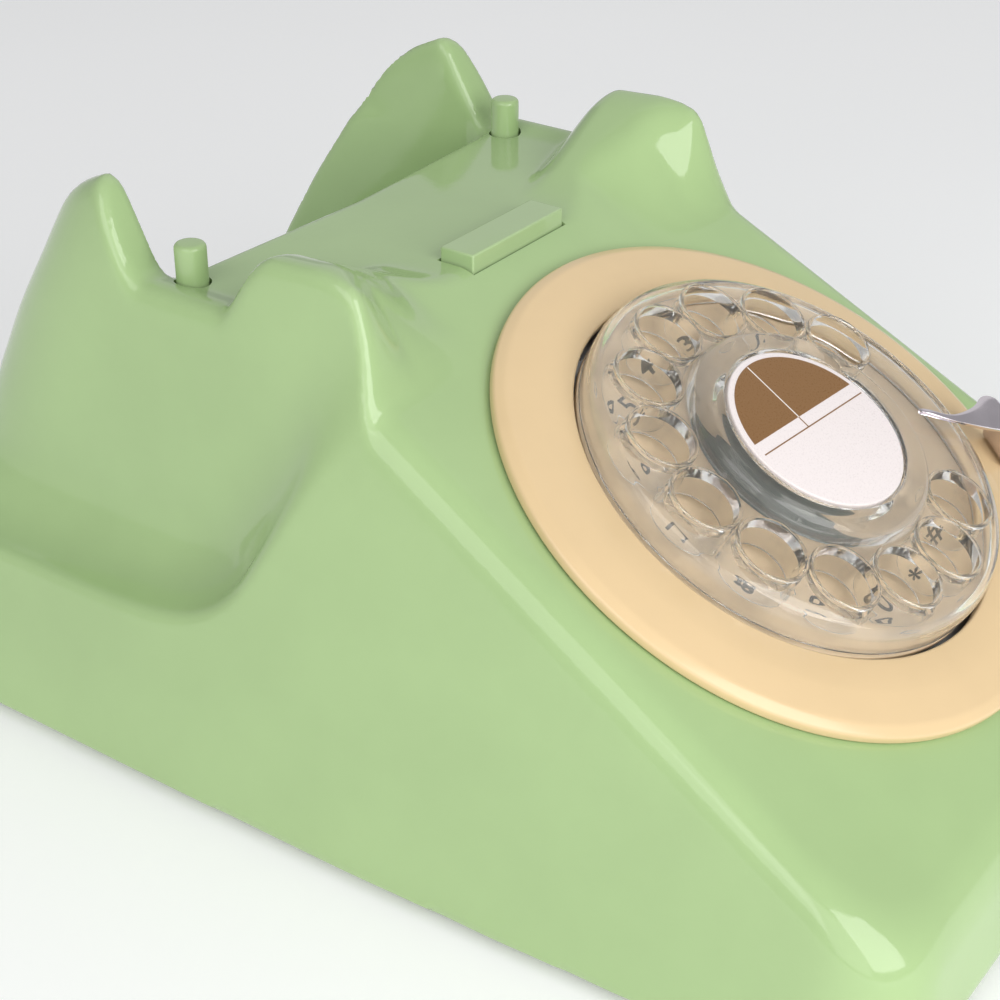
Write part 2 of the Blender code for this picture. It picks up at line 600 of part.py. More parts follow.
def make_cradle_switch():
    for name, side in (("plunger_left", -1), ("plunger_right", 1)):
        length = PLUNGER_TOP - PLUNGER_FOOT
        profile = [(0, length), (0.0018, length), (0.0026, length - 0.0003),
                   (PLUNGER_RADIUS, length - 0.0010), (PLUNGER_RADIUS, 0.0015), (0.0015, 0), (0, 0)]
        finish(turned(name, profile, 20), GREEN, location=(side * PLUNGER_X, PLUNGER_Y, PLUNGER_FOOT))
    pivot = empty("lever_axis", LEVER_PIVOT)
    bar_y, tip_y = (0.0125, 0.0168), 0.0195
    bar_x, tip_x, arm_x = 0.0530, 0.0450, (0.0210, 0.0250)
    half = [(arm_x[0], 0.0015), (arm_x[1], 0.0015), (arm_x[1], bar_y[0]), (bar_x, bar_y[0]),
            (bar_x, tip_y), (tip_x, tip_y), (tip_x - 0.002, bar_y[1])]
    outline = half + [(-x, y) for x, y in reversed(half)] + [(-arm_x[0], bar_y[0]), (arm_x[0], bar_y[0])]
    lever = sheet("hook_lever", outline, 0.0020)
    finish(lever, STEEL, pivot)
    for side in (-1, 1):
        knuckle = cutter(rod(f"knuckle_{side}", 0.0027, -0.0020, 0.0020, 14), pivot,
                         (side * sum(arm_x) / 2, 0, 0), (0, math.pi / 2, 0))
        boolean(lever, knuckle, "UNION")
    bore = cutter(rod("lever_bore", 0.0015, -0.05, 0.05, 12), pivot, rotation=(0, math.pi / 2, 0))
    boolean(lever, bore)
    finish(rod("hook_pivot", 0.0012, -0.044, 0.044, 12), STEEL, pivot, rotation=(0, math.pi / 2, 0))
    leg, foot, low, high, bridge = 0.040, 0.047, PLATE_Z[1] + GAP, 0.0795, (0.060, 0.062)
    thick = 0.0016
    half = [(leg, low), (foot, low), (foot, low + thick), (leg, low + thick), (leg, high),
            (leg - thick, high), (leg - thick, bridge[1])]
    outline = [(leg - thick, low)] + half + [(-x, z) for x, z in reversed(half)]
    outline += [(-leg + thick, low), (-leg + thick, bridge[0]), (leg - thick, bridge[0])]
    bracket = sheet("hook_bracket", outline, 0.010)
    finish(bracket, GALVANISED, location=(0, LEVER_PIVOT.y, 0), rotation=(math.pi / 2, 0, 0))
    boolean(bracket, bore)
    finish(coil("hook_spring", 0.0026, 0.0004, 0.0623, 0.0738, 5), STEEL, location=(0.023, 0.0272, 0))
    finish(box("hook_contacts", (0.016, 0.016, 0.007), 0.0004), DARK, location=(-0.004, 0.0290, 0.0660))


def coil(name, radius, wire, low, high, turns):
    """An upright spring made of round wire."""
    curve = bpy.data.curves.new(name, "CURVE")
    curve.dimensions = "3D"
    curve.bevel_depth = wire
    curve.bevel_resolution = 0
    curve.use_fill_caps = True
    spline = curve.splines.new("POLY")
    steps = 8 * turns
    spline.points.add(steps)
    for i, point in enumerate(spline.points):
        angle = 2 * math.pi * i / 8
        rise = (high - low - 2 * wire) * i / steps
        point.co = (radius * math.cos(angle), radius * math.sin(angle), low + wire + rise, 1.0)
    obj = bpy.data.objects.new(name, curve)
    bpy.context.scene.collection.objects.link(obj)
    return obj


def make_recall():
    """Press bar in front of the cradle, over its switch, which hangs from the case on two ears."""
    half_x, half_y = RECALL_HALF
    low, ledge = 0.0840, 0.0860
    outline = [(half_x + 0.002, low), (half_x + 0.002, ledge), (half_x, ledge), (half_x, RECALL_TOP)]
    outline = outline + [(-x, z) for x, z in reversed(outline)]
    bar = sheet("recall_button", outline, 2 * half_y)
    finish(bar, GREEN, location=(0, RECALL_CENTRE_Y, 0), rotation=(math.pi / 2, 0, 0))
    leg, bottom, body_top, top, inner = 0.0230, 0.0736, 0.0815, 0.0870, 0.0214
    outline = [(-leg, bottom), (leg, bottom), (leg, top), (inner, top), (inner, body_top),
               (-inner, body_top), (-inner, top), (-leg, top)]
    finish(sheet("recall_switch", outline, 0.008), DARK, location=(0, RECALL_CENTRE_Y, 0),
           rotation=(math.pi / 2, 0, 0))


def make_ringer():
    low = PLATE_Z[1] + GAP
    finish(box("ringer_frame", (0.070, 0.050, 0.0020), 0.0004), GALVANISED,
           location=(0, 0.088, low + 0.0010))
    floor = low + 0.0020 + GAP
    for name, side in (("left", -1), ("right", 1)):
        place = (side * GONG_X, GONG_Y, 0)
        post = turned(f"gong_post_{name}", [(0, 0.0350), (0.0017, 0.0350), (0.0017, 0.0290), (0.0040, 0.0290),
                                            (0.0040, floor), (0, floor)], 14)
        finish(post, STEEL, location=place)
        gong = turned(f"gong_{name}", [
            (0.0020, 0.0330), (0.0100, 0.0330), (0.0175, 0.0300), (0.0205, 0.0250), (GONG_RADIUS, 0.0180),
            (0.0203, 0.0180), (0.0193, 0.0245), (0.0165, 0.0290), (0.0095, 0.0318), (0.0020, 0.0318)],
            22, closed=True)
        finish(gong, BRASS, location=place)
        coil_body = turned(f"ringer_coil_{name}", [
            (0, 0.0280), (0.0075, 0.0280), (0.0075, 0.0265), (0.0066, 0.0260), (0.0066, floor + 0.0020),
            (0.0075, floor + 0.0015), (0.0075, floor), (0, floor)], 18)
        finish(coil_body, WINDING, location=(side * 0.0100, 0.1030, 0))
    pivot = empty("clapper_axis", CLAPPER_PIVOT)
    reach = GONG_Y - CLAPPER_PIVOT.y
    outline = [(-0.0140, 0.0120), (-0.0140, 0.0070), (-0.0020, 0.0050), (-0.0008, -0.0040),
               (-0.0008, reach + 0.002), (0.0008, reach + 0.002), (0.0008, -0.0040), (0.0020, 0.0050),
               (0.0140, 0.0070), (0.0140, 0.0120)]
    clapper = sheet("clapper", outline, 0.0015)
    finish(clapper, STEEL, pivot)
    ball = mesh_object("striker", lambda shape: bmesh.ops.create_uvsphere(
        shape, u_segments=12, v_segments=8, radius=0.0030))
    boolean(clapper, cutter(ball, pivot, (0, reach, 0)), "UNION")


def make_circuit():
    low = PLATE_Z[1] + GAP
    thick = 0.0016
    finish(box("circuit_board", (0.072, 0.036, thick), 0.0002), BOARD, location=(0, -0.003, low + thick / 2))
    top = low + thick + GAP
    finish(box("capacitor", (0.022, 0.014, 0.012), 0.0010), TAN, location=(-0.020, 0.001, top + 0.0060))
    finish(turned("induction_coil", [(0, 0.016), (0.0085, 0.016), (0.0085, 0.0140), (0.0070, 0.0135),
                                     (0.0070, 0.0025), (0.0085, 0.0020), (0.0085, 0), (0, 0)], 20),
           WINDING, location=(0.018, 0.002, top))
    finish(box("terminal_block", (0.040, 0.012, 0.010), 0.0008), DARK, location=(0, 0.0500, low + 0.0050))


def make_glands():
    """Grommets in the rear wall, one for the line cord and one for the handset's cord."""
    for name, inlet in (("line_cord_gland", LINE_GLAND), ("handset_cord_gland", HANDSET_GLAND)):
        place, turn = inlet_place(*inlet)
        profile = [(0.0024, 0.0014), (0.0064, 0.0014), (0.0070, 0.0010), (0.0070, 0.0004), (0.0047, 0.0004),
                   (0.0047, -0.0040), (0.0064, -0.0040), (0.0064, -0.0056), (0.0024, -0.0056)]
        finish(turned(name, profile, 16, closed=True), RUBBER, location=place, rotation=turn)


make_case()
make_base()
make_dial_face()
make_finger_stop()
make_dial_train()
make_governor()
make_dial_contacts()
make_cradle_switch()
make_recall()
make_ringer()
make_circuit()
make_glands()
bpy.context.view_layer.update()
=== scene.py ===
"""Looks of the rotary telephone: its moulded case, dial and materials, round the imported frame.

Lengths are in metres. The case and the dial are shaped in coordinates measured from the middle of
the dial's ring, and the dial's own pieces are made flat round z and then tilted onto the case.
"""
import json
import math

import bmesh
import bpy
import numpy as np
from mathutils import Matrix, Vector


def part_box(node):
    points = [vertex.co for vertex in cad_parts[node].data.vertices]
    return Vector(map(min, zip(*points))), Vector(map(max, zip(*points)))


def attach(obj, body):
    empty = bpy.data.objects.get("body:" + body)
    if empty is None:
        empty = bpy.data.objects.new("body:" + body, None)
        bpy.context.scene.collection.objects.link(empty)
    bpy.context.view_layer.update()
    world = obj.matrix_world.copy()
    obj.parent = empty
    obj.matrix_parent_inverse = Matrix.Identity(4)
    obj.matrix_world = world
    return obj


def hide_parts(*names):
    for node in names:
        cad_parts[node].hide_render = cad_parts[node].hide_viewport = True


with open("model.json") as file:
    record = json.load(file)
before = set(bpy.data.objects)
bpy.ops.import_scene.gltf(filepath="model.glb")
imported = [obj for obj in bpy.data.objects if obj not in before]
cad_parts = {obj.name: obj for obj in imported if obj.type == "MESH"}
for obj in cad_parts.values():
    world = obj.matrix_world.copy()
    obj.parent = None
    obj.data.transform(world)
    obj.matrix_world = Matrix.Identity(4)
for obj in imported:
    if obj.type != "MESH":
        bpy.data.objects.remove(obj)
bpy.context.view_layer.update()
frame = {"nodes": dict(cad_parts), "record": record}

BODY, WHEEL = "body", "dial_wheel"

# The dial: its tilt, its middle, its twelve holes on a circle of fourteen places, and its label.
DIAL_TILT = math.radians(28.7)
DIAL_CENTRE = Vector((0.0, -0.057, 0.061))
DIAL = Matrix.Translation(DIAL_CENTRE) @ Matrix.Rotation(DIAL_TILT, 4, "X")
HOLE_CIRCLE = 0.0321
HOLE_COUNT = 12
FIRST_HOLE = math.radians(20.1)
HOLE_STEP = 2 * math.pi / 14
TUBE_OUTER = 0.0071
TUBE_INNER = 0.0062
TUBE_TOP = 0.0093
TUBE_LOW = 0.0022
TUBE_STEPS = 56
LABEL_TURN = math.radians(-3.7)
LABEL_TOP = 0.0124
INK = 0.00004
DIGIT_SIZE = 0.0058
DIGIT_DEPTH = 0.00002
DIGIT_HEIGHT = 0.00033
STOP_THICKNESS = 0.0013

# The case, measured from the dial's middle: cell sizes of its grids, its wall, base and cradle.
CASE_CELL = 0.0011
ROOM_CELL = 0.0040
GRID_LOW, GRID_HIGH = (-0.0975, -0.0775, -0.0975), (0.0975, 0.1925, 0.0625)
WALL = 0.0026
BASE_Z = -0.0585
CRADLE_FLOOR = 0.0304
SLOPE_DROP = 0.0028

# What is cut through the case, and the pieces that move in it.
DIAL_OPENING = 0.0495
INLET_RADIUS = 0.0052
PLUNGER_HOLE = 0.00355
PLUNGER_RADIUS = 0.00305
PLUNGER_FOOT = 0.0015
BAR_HALF = 0.0150
BAR_GAP = 0.0005

# Each light: its name, turn and lift in degrees, distance, size and power.
LIGHTS = (
    ("key", 180, 35, 1.30, 0.90, 4.2),
    ("low", 215, 20, 1.30, 0.90, 2.8),
    ("front", 255, 24, 0.75, 0.52, 3.3),
    ("sky", 25, 38, 1.30, 1.50, 2.2),
)
LIT_POINT = Vector((0, 0, 0.06))
FLOOR_HALF = 4.0
CAMERA_PLACE = DIAL_CENTRE + Vector((-0.2931, -0.1443, 0.1797))
CAMERA_PITCH = math.radians(59.61)
CAMERA_TURN = math.radians(-54.49)
CAMERA_LENS = 71.4
CAMERA_SHIFT = 0.013

scene = bpy.context.scene
scene.view_settings.view_transform = "Standard"


# ---- materials ---------------------------------------------------------------------------------
def principled(name, colour, roughness, **sockets):
    """A new material, its node tree and its shader with the given sockets set."""
    made = bpy.data.materials.new(name)
    made.use_nodes = True
    shader = made.node_tree.nodes["Principled BSDF"]
    shader.inputs["Base Color"].default_value = (*colour, 1.0)
    shader.inputs["Roughness"].default_value = roughness
    for socket, value in sockets.items():
        shader.inputs[socket.replace("_", " ")].default_value = value
    return made, made.node_tree, shader


def texture(tree, kind, scale, **settings):
    """A procedural texture in the piece's own coordinates."""
    node = tree.nodes.new(kind)
    node.inputs["Scale"].default_value = scale
    for key, value in settings.items():
        node.inputs[key.replace("_", " ")].default_value = value
    coords = tree.nodes.new("ShaderNodeTexCoord")
    tree.links.new(coords.outputs["Object"], node.inputs["Vector"])
    return node


def spread(tree, value, low, high, start=0.35, end=0.65):
    """A texture's value brought from start..end to low..high."""
    node = tree.nodes.new("ShaderNodeMapRange")
    node.inputs["From Min"].default_value = start
    node.inputs["From Max"].default_value = end
    node.inputs["To Min"].default_value = low
    node.inputs["To Max"].default_value = high
    tree.links.new(value, node.inputs["Value"])
    return node.outputs["Result"]


def tint(tree, factor, first, second):
    """A colour between first and second, by factor."""
    node = tree.nodes.new("ShaderNodeMix")
    node.data_type = "RGBA"
    node.inputs["A"].default_value = (*first, 1.0)
    node.inputs["B"].default_value = (*second, 1.0)
    tree.links.new(factor, node.inputs["Factor"])
    return node.outputs["Result"]


def bump(tree, shader, heights, distance):
    """Bump the shader's normal by height fields one after another, each with its strength."""
    previous = None
    for height, strength in heights:
        node = tree.nodes.new("ShaderNodeBump")
        node.inputs["Strength"].default_value = strength
        node.inputs["Distance"].default_value = distance
        tree.links.new(height, node.inputs["Height"])
        if previous:
            tree.links.new(previous, node.inputs["Normal"])
        previous = node.outputs["Normal"]
    tree.links.new(previous, shader.inputs["Normal"])


def shades(colour, amount):
    """A darker and a lighter shade of a colour."""
    dark = tuple(c * (1 - amount) for c in colour)
    light = tuple(min(1.0, c * (1 + amount)) for c in colour)
    return dark, light


def moulded_plastic(name, colour, roughness, ripple=0.10):
    """Glossy moulding: faint flow ripple, fine scuffs in the gloss, and a painted highlight that
    makes convex edges paler.
    """
    edge_highlight_weight, highlight_paleness = 0.10, 0.45
    made, tree, shader = principled(name, colour, roughness)
    cloud = texture(tree, "ShaderNodeTexNoise", 26, Detail=4)
    fine = texture(tree, "ShaderNodeTexNoise", 900, Detail=3)
    flow = texture(tree, "ShaderNodeTexNoise", 95, Detail=2)
    scuff = texture(tree, "ShaderNodeTexNoise", 240, Detail=8, Roughness=0.75, Distortion=1.5)
    dark, light = shades(colour, 0.035)
    mixed = tint(tree, spread(tree, cloud.outputs["Fac"], 0, 1), dark, light)
    # Painted highlight: convex edges, found by pointiness, are mixed towards a paler colour.
    edge = tree.nodes.new("ShaderNodeNewGeometry")
    edge_highlight_share = spread(tree, edge.outputs["Pointiness"], 0, edge_highlight_weight, 0.515, 0.60)
    edge_highlight_mix = tree.nodes.new("ShaderNodeMix")
    edge_highlight_mix.data_type = "RGBA"
    edge_highlight_mix.inputs["B"].default_value = (*(c + (1 - c) * highlight_paleness for c in colour), 1.0)
    tree.links.new(edge_highlight_share, edge_highlight_mix.inputs["Factor"])
    tree.links.new(mixed, edge_highlight_mix.inputs["A"])
    tree.links.new(edge_highlight_mix.outputs["Result"], shader.inputs["Base Color"])
    gloss = spread(tree, scuff.outputs["Fac"], roughness - 0.03, roughness + 0.10, 0.45, 0.80)
    tree.links.new(gloss, shader.inputs["Roughness"])
    heights = ((flow.outputs["Fac"], ripple), (fine.outputs["Fac"], 0.03))
    bump(tree, shader, heights, 0.0004)
    return made


def matte_plastic(name, colour, roughness):
    """Satin moulding with a fine sparked grain."""
    made, tree, shader = principled(name, colour, roughness)
    grain = texture(tree, "ShaderNodeTexNoise", 2600, Detail=2)
    cloud = texture(tree, "ShaderNodeTexNoise", 60, Detail=5)
    dark, light = shades(colour, 0.10)
    mixed = tint(tree, spread(tree, cloud.outputs["Fac"], 0, 1), dark, light)
    tree.links.new(mixed, shader.inputs["Base Color"])
    gloss = spread(tree, cloud.outputs["Fac"], roughness - 0.06, roughness + 0.08)
    tree.links.new(gloss, shader.inputs["Roughness"])
    bump(tree, shader, ((grain.outputs["Fac"], 0.25),), 0.00008)
    return made


def metal(name, colour, roughness, streak=(1.0, 1.0, 30.0), grime=0.25):
    """Metal with lay marks, smears and a little grime. The marks are fine where streak is large."""
    made, tree, shader = principled(name, colour, roughness, Metallic=1.0)
    stretch = tree.nodes.new("ShaderNodeMapping")
    stretch.inputs["Scale"].default_value = streak
    coords = tree.nodes.new("ShaderNodeTexCoord")
    tree.links.new(coords.outputs["Object"], stretch.inputs["Vector"])
    lay = tree.nodes.new("ShaderNodeTexNoise")
    lay.inputs["Scale"].default_value = 420
    lay.inputs["Detail"].default_value = 3
    tree.links.new(stretch.outputs["Vector"], lay.inputs["Vector"])
    smear = texture(tree, "ShaderNodeTexNoise", 120, Detail=6)
    dark, light = shades(colour, grime)
    mixed = tint(tree, spread(tree, smear.outputs["Fac"], 0, 1, 0.30, 0.60), dark, light)
    tree.links.new(mixed, shader.inputs["Base Color"])
    gloss = spread(tree, smear.outputs["Fac"], max(0.02, roughness - 0.06), roughness + 0.12)
    tree.links.new(gloss, shader.inputs["Roughness"])
    bump(tree, shader, ((lay.outputs["Fac"], 0.12),), 0.00005)
    return made


def clear_plastic(name):
    """Clear acrylic with hair scratches in its polish."""
    made, tree, shader = principled(name, (0.99, 0.98, 0.955), 0.03, Transmission_Weight=0.96,
                                    IOR=1.28, Coat_Weight=0.6, Coat_Roughness=0.02)
    scratch = texture(tree, "ShaderNodeTexNoise", 700, Detail=8, Distortion=3.0)
    gloss = spread(tree, scratch.outputs["Fac"], 0.012, 0.07, 0.55, 0.80)
    tree.links.new(gloss, shader.inputs["Roughness"])
    ripple = texture(tree, "ShaderNodeTexNoise", 140, Detail=1)
    bump(tree, shader, ((ripple.outputs["Fac"], 0.05),), 0.0003)
    return made


def printed(name, colour, roughness=0.30):
    """Ink or card with a fibre mottle."""
    made, tree, shader = principled(name, colour, roughness)
    fibre = texture(tree, "ShaderNodeTexNoise", 3200, Detail=2)
    dark, light = shades(colour, 0.015)
    mixed = tint(tree, spread(tree, fibre.outputs["Fac"], 0, 1), dark, light)
    tree.links.new(mixed, shader.inputs["Base Color"])
    gloss = spread(tree, fibre.outputs["Fac"], roughness - 0.04, roughness + 0.04)
    tree.links.new(gloss, shader.inputs["Roughness"])
    bump(tree, shader, ((fibre.outputs["Fac"], 0.04),), 0.00005)
    return made


def winding(name, colour):
    """Varnished wire: close rings round the coil."""
    made, tree, shader = principled(name, colour, 0.35, Metallic=0.4)
    rings = texture(tree, "ShaderNodeTexWave", 900, Distortion=0.4)
    rings.bands_direction = "Z"
    dark, light = shades(colour, 0.30)
    mixed = tint(tree, spread(tree, rings.outputs["Fac"], 0, 1, 0, 1), dark, light)
    tree.links.new(mixed, shader.inputs["Base Color"])
    bump(tree, shader, ((rings.outputs["Fac"], 0.6),), 0.0002)
    return made


GREEN = (0.378, 0.525, 0.245)
LOOKS = {
    "case_plastic": moulded_plastic("case_plastic", GREEN, 0.09),
    "ring_plastic": moulded_plastic("ring_plastic", (0.75, 0.555, 0.315), 0.20, ripple=0.05),
    "plate_plastic": matte_plastic("plate_plastic", (0.82, 0.64, 0.43), 0.42),
    "clear_plastic": clear_plastic("clear_plastic"),
    "label_card": printed("label_card", (0.85, 0.775, 0.76)),
    "hub_plastic": matte_plastic("hub_plastic", (0.050, 0.072, 0.064), 0.35),
    "bright_chrome": metal("bright_chrome", (0.72, 0.66, 0.70), 0.12, (1, 1, 1), 0.05),
    "steel": metal("steel", (0.55, 0.56, 0.57), 0.32),
    "brass": metal("brass", (0.74, 0.56, 0.25), 0.28),
    "zinc_sheet": metal("zinc_sheet", (0.60, 0.60, 0.58), 0.42, (1, 30, 1), 0.15),
    "dark_plastic": matte_plastic("dark_plastic", (0.035, 0.033, 0.032), 0.40),
    "rubber": matte_plastic("rubber", (0.030, 0.030, 0.030), 0.72),
    "board": matte_plastic("board", (0.25, 0.14, 0.06), 0.45),
    "winding": winding("winding", (0.45, 0.18, 0.07)),
}
BROWN_INK = printed("brown_ink", (0.235, 0.115, 0.036))
WHITE_INK = printed("white_ink", (0.90, 0.84, 0.80))
BLACK_INK = printed("black_ink", (0.012, 0.012, 0.014), 0.35)


# ---- making pieces -----------------------------------------------------------------------------
def mesh_piece(name, points, faces):
    mesh = bpy.data.meshes.new(name)
    corners = [tuple(map(float, point)) for point in points]
    mesh.from_pydata(corners, [], [tuple(map(int, face)) for face in faces])
    obj = bpy.data.objects.new(name, mesh)
    scene.collection.objects.link(obj)
    return obj


def smooth(obj, angle=35):
    """Smooth shading, with edges sharper than the angle left sharp."""
    obj.data.shade_smooth()
    obj.data.set_sharp_from_angle(angle=math.radians(angle))
    return obj


def turned(name, profile, steps=128, closed=False):
    """A profile of (radius, height) points turned round z. It runs down its outer side."""
    points, rings = [], []
    for radius, height in profile:
        start = len(points)
        count = 1 if radius == 0 else steps
        for i in range(count):
            angle = 2 * math.pi * i / steps
            points.append((radius * math.cos(angle), radius * math.sin(angle), height))
        rings.append([start + (i if count > 1 else 0) for i in range(steps)])
    faces = []
    pairs = list(zip(rings, rings[1:])) + ([(rings[-1], rings[0])] if closed else [])
    for upper, lower in pairs:
        for i in range(steps):
            j = (i + 1) % steps
            corners = [upper[i], lower[i], lower[j], upper[j]]
            faces.append([c for n, c in enumerate(corners) if c not in corners[:n]])
    return smooth(mesh_piece(name, points, faces))


def rounded(points, radius, segments=4):
    """A profile with all corners but its two ends rounded: each becomes a short curve."""
    most = 0.45
    result = [points[0]]
    for before, corner, after in zip(points, points[1:], points[2:]):
        here = Vector(corner)
        towards_before, towards_after = Vector(before) - here, Vector(after) - here
        cut = min(radius, towards_before.length * most, towards_after.length * most)
        start = here + towards_before.normalized() * cut
        end = here + towards_after.normalized() * cut
        for i in range(segments + 1):
            t = i / segments
            point = start * (1 - t) ** 2 + here * 2 * t * (1 - t) + end * t ** 2
            result.append(tuple(point))
    result.append(points[-1])
    return result


def rounded_loop(points, radius, segments=4):
    """A closed profile with every corner rounded."""
    wrapped = [points[-1]] + list(points) + [points[0]]
    return rounded(wrapped, radius, segments)[1:-1]


def joined(name, objects):
    """Several meshes as one object, each at the place it had."""
    bpy.context.view_layer.update()
    shape = bmesh.new()
    for obj in objects:
        copy = obj.data.copy()
        copy.transform(obj.matrix_world)
        shape.from_mesh(copy)
        bpy.data.objects.remove(obj)
    mesh = bpy.data.meshes.new(name)
    shape.to_mesh(mesh)
    shape.free()
    obj = bpy.data.objects.new(name, mesh)
    scene.collection.objects.link(obj)
    return obj


def boolean(obj, other, operation="DIFFERENCE"):
    """Cut or join with another mesh, then drop that mesh."""
    modifier = obj.modifiers.new(operation, "BOOLEAN")
    modifier.operation = operation
    modifier.solver = "EXACT"
    modifier.object = other
    bpy.context.view_layer.update()
    evaluated = obj.evaluated_get(bpy.context.evaluated_depsgraph_get())
    result = bpy.data.meshes.new_from_object(evaluated)
    obj.modifiers.clear()
    obj.data = result
    bpy.data.objects.remove(other)
    return obj


def show(obj, body, look, nodes=(), place=None):
    """Place a piece, give it its material and body, and hide the CAD nodes it stands for."""
    if place is not None:
        obj.data.transform(place)
    obj.data.materials.clear()
    obj.data.materials.append(look)
    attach(obj, body)
    if nodes:
        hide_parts(*nodes)
    return obj


def character_mesh(name, character, size, depth):
    """One character as a thin mesh, centred on the origin."""
    weight, merge = 0.012, 0.000001
    curve = bpy.data.curves.new(name, "FONT")
    curve.body = character
    curve.size = size
    curve.extrude = depth
    curve.offset = size * weight
    curve.align_x = "CENTER"
    curve.align_y = "CENTER"
    font = bpy.data.objects.new(name, curve)
    scene.collection.objects.link(font)
    bpy.context.view_layer.update()
    evaluated = font.evaluated_get(bpy.context.evaluated_depsgraph_get())
    mesh = bpy.data.meshes.new_from_object(evaluated)
    bpy.data.objects.remove(font)
    shape = bmesh.new()
    shape.from_mesh(mesh)
    bmesh.ops.remove_doubles(shape, verts=shape.verts, dist=merge)
    loose = [point for point in shape.verts if not point.link_faces]
    bmesh.ops.delete(shape, geom=loose, context="VERTS")
    shape.to_mesh(mesh)
    shape.free()
    obj = bpy.data.objects.new(name, mesh)
    scene.collection.objects.link(obj)
    return obj


def prism(name, outline, low, high):
    """A flat outline in x and y, given a thickness from low to high."""
    count = len(outline)
    points = [(x, y, low) for x, y in outline] + [(x, y, high) for x, y in outline]
    faces = [list(reversed(range(count))), list(range(count, 2 * count))]
    faces += [[i, (i + 1) % count, count + (i + 1) % count, count + i] for i in range(count)]
    return mesh_piece(name, points, faces)


def rectangle(low_x, low_y, high_x, high_y):
    return [(low_x, low_y), (high_x, low_y), (high_x, high_y), (low_x, high_y)]


def bevelled(obj, width):
    modifier = obj.modifiers.new("edges", "BEVEL")
    modifier.width = width
    modifier.segments = 3
    return smooth(obj, 30)


# ---- case --------------------------------------------------------------------------------------
def blend_max(a, b, width):
    """The larger of two values, rounded over where they meet."""
    share = np.clip(0.5 + 0.5 * (a - b) / width, 0, 1)
    return b + (a - b) * share + width * share * (1 - share)


def blend_min(a, b, width):
    return -blend_max(-a, -b, width)


def ramp(value, start, end):
    """A soft step from 0 at start to 1 at end."""
    share = np.clip((value - start) / (end - start), 0, 1)
    return share * share * (3 - 2 * share)


def case_top(x, y):
    """Height of the case's upper surface: the dial's slope, the cradle floor and its four horns."""
    slope = y * math.tan(DIAL_TILT) - SLOPE_DROP / math.cos(DIAL_TILT)
    valley_rise, shoulder_rise = 0.0160, 0.0172
    valley = valley_rise * ramp(y, 0.0450, 0.0650) * ramp(x, 0.0300, 0.0560)
    at_shoulder = ramp(y, 0.0470, 0.0560) * ramp(x, 0.0460, 0.0585)
    shoulder = valley + (shoulder_rise - valley) * at_shoulder
    front_horn = blend_min(0.0446 - 0.06 * (y - 0.058), 0.0437 - 1.55 * (y - 0.0760), 0.005)
    front_horn = front_horn - 0.50 * blend_max(0.0525 - x, 0 * x, 0.004)
    back_horn = blend_min(0.0480 - 0.40 * (y - 0.118), 0.0312 + 1.8 * (y - 0.1064), 0.005)
    back_horn = back_horn - 7 * blend_max(0.0495 - x, 0 * x, 0.001)
    floor = CRADLE_FLOOR + 0.0012 * ramp(x, 0.050, 0.056)
    cradle = blend_max(blend_max(floor, front_horn, 0.003), back_horn, 0.005)
    return blend_min(slope + shoulder, cradle, 0.0012 + 0.0040 * ramp(x, 0.030, 0.056))


def case_skin(x, y, z, low=BASE_Z):
    """Negative inside the solid case. The coordinates are measured from the dial's middle."""
    x = np.sqrt(x * x + 1e-8)
    top = (z - case_top(x, y)) * 0.8
    flare = 0.0846 - 0.25 * np.minimum(y - 0.090, 0) ** 2
    side = flare - (0.270 + 0.35 * (0.0495 - y)) * (z - BASE_Z)
    upper_side = 0.0592 + 0.045 * (0.040 - z)
    sides = (x - blend_max(side, upper_side, 0.001)) * 0.966
    front = -(y + 0.066) + 0.12 * (z - BASE_Z)
    rear_upper = (y - (0.138 - 0.5625 * (z - 0.0387))) * 0.872
    rear_lower = y - (0.180 - 0.08 * (z - BASE_Z))
    rear = blend_max(rear_upper, rear_lower, 0.014)
    walls = blend_max(blend_max(sides, rear, 0.028), front, 0.016)
    panel = blend_max(x - upper_side, (y - 0.1415 + 0.5 * (z - 0.0387)) * 0.89, 0.030)
    hand_pocket = blend_max(-panel, (0.0400 + (0.035 - z) * 0.618 - y) * 0.85, 0.018)
    hand_pocket = blend_max(hand_pocket, -0.0265 - z, 0.014)
    recess = blend_max(0.1016 + 0.05 * x - y, x - (0.0505 - 0.12 * (y - 0.104)), 0.006)
    recess = blend_max(recess, -0.014 - 0.12 * (y - 0.140) - z, 0.012)
    edge = 0.0055 - 0.0027 * ramp(y, 0.045, 0.060)
    skin = blend_max(walls, top, edge)
    skin = blend_max(skin, -hand_pocket, 0.0018 + 0.0022 * ramp(z, 0.005, 0.030))
    skin = blend_max(skin, -recess, 0.003)
    return blend_max(skin, low - z, 0.001)


def room_skin(x, y, z):
    """Negative inside the room in the case, which runs out below the base."""
    return case_skin(x, y, z, low=BASE_Z - 0.02) + WALL


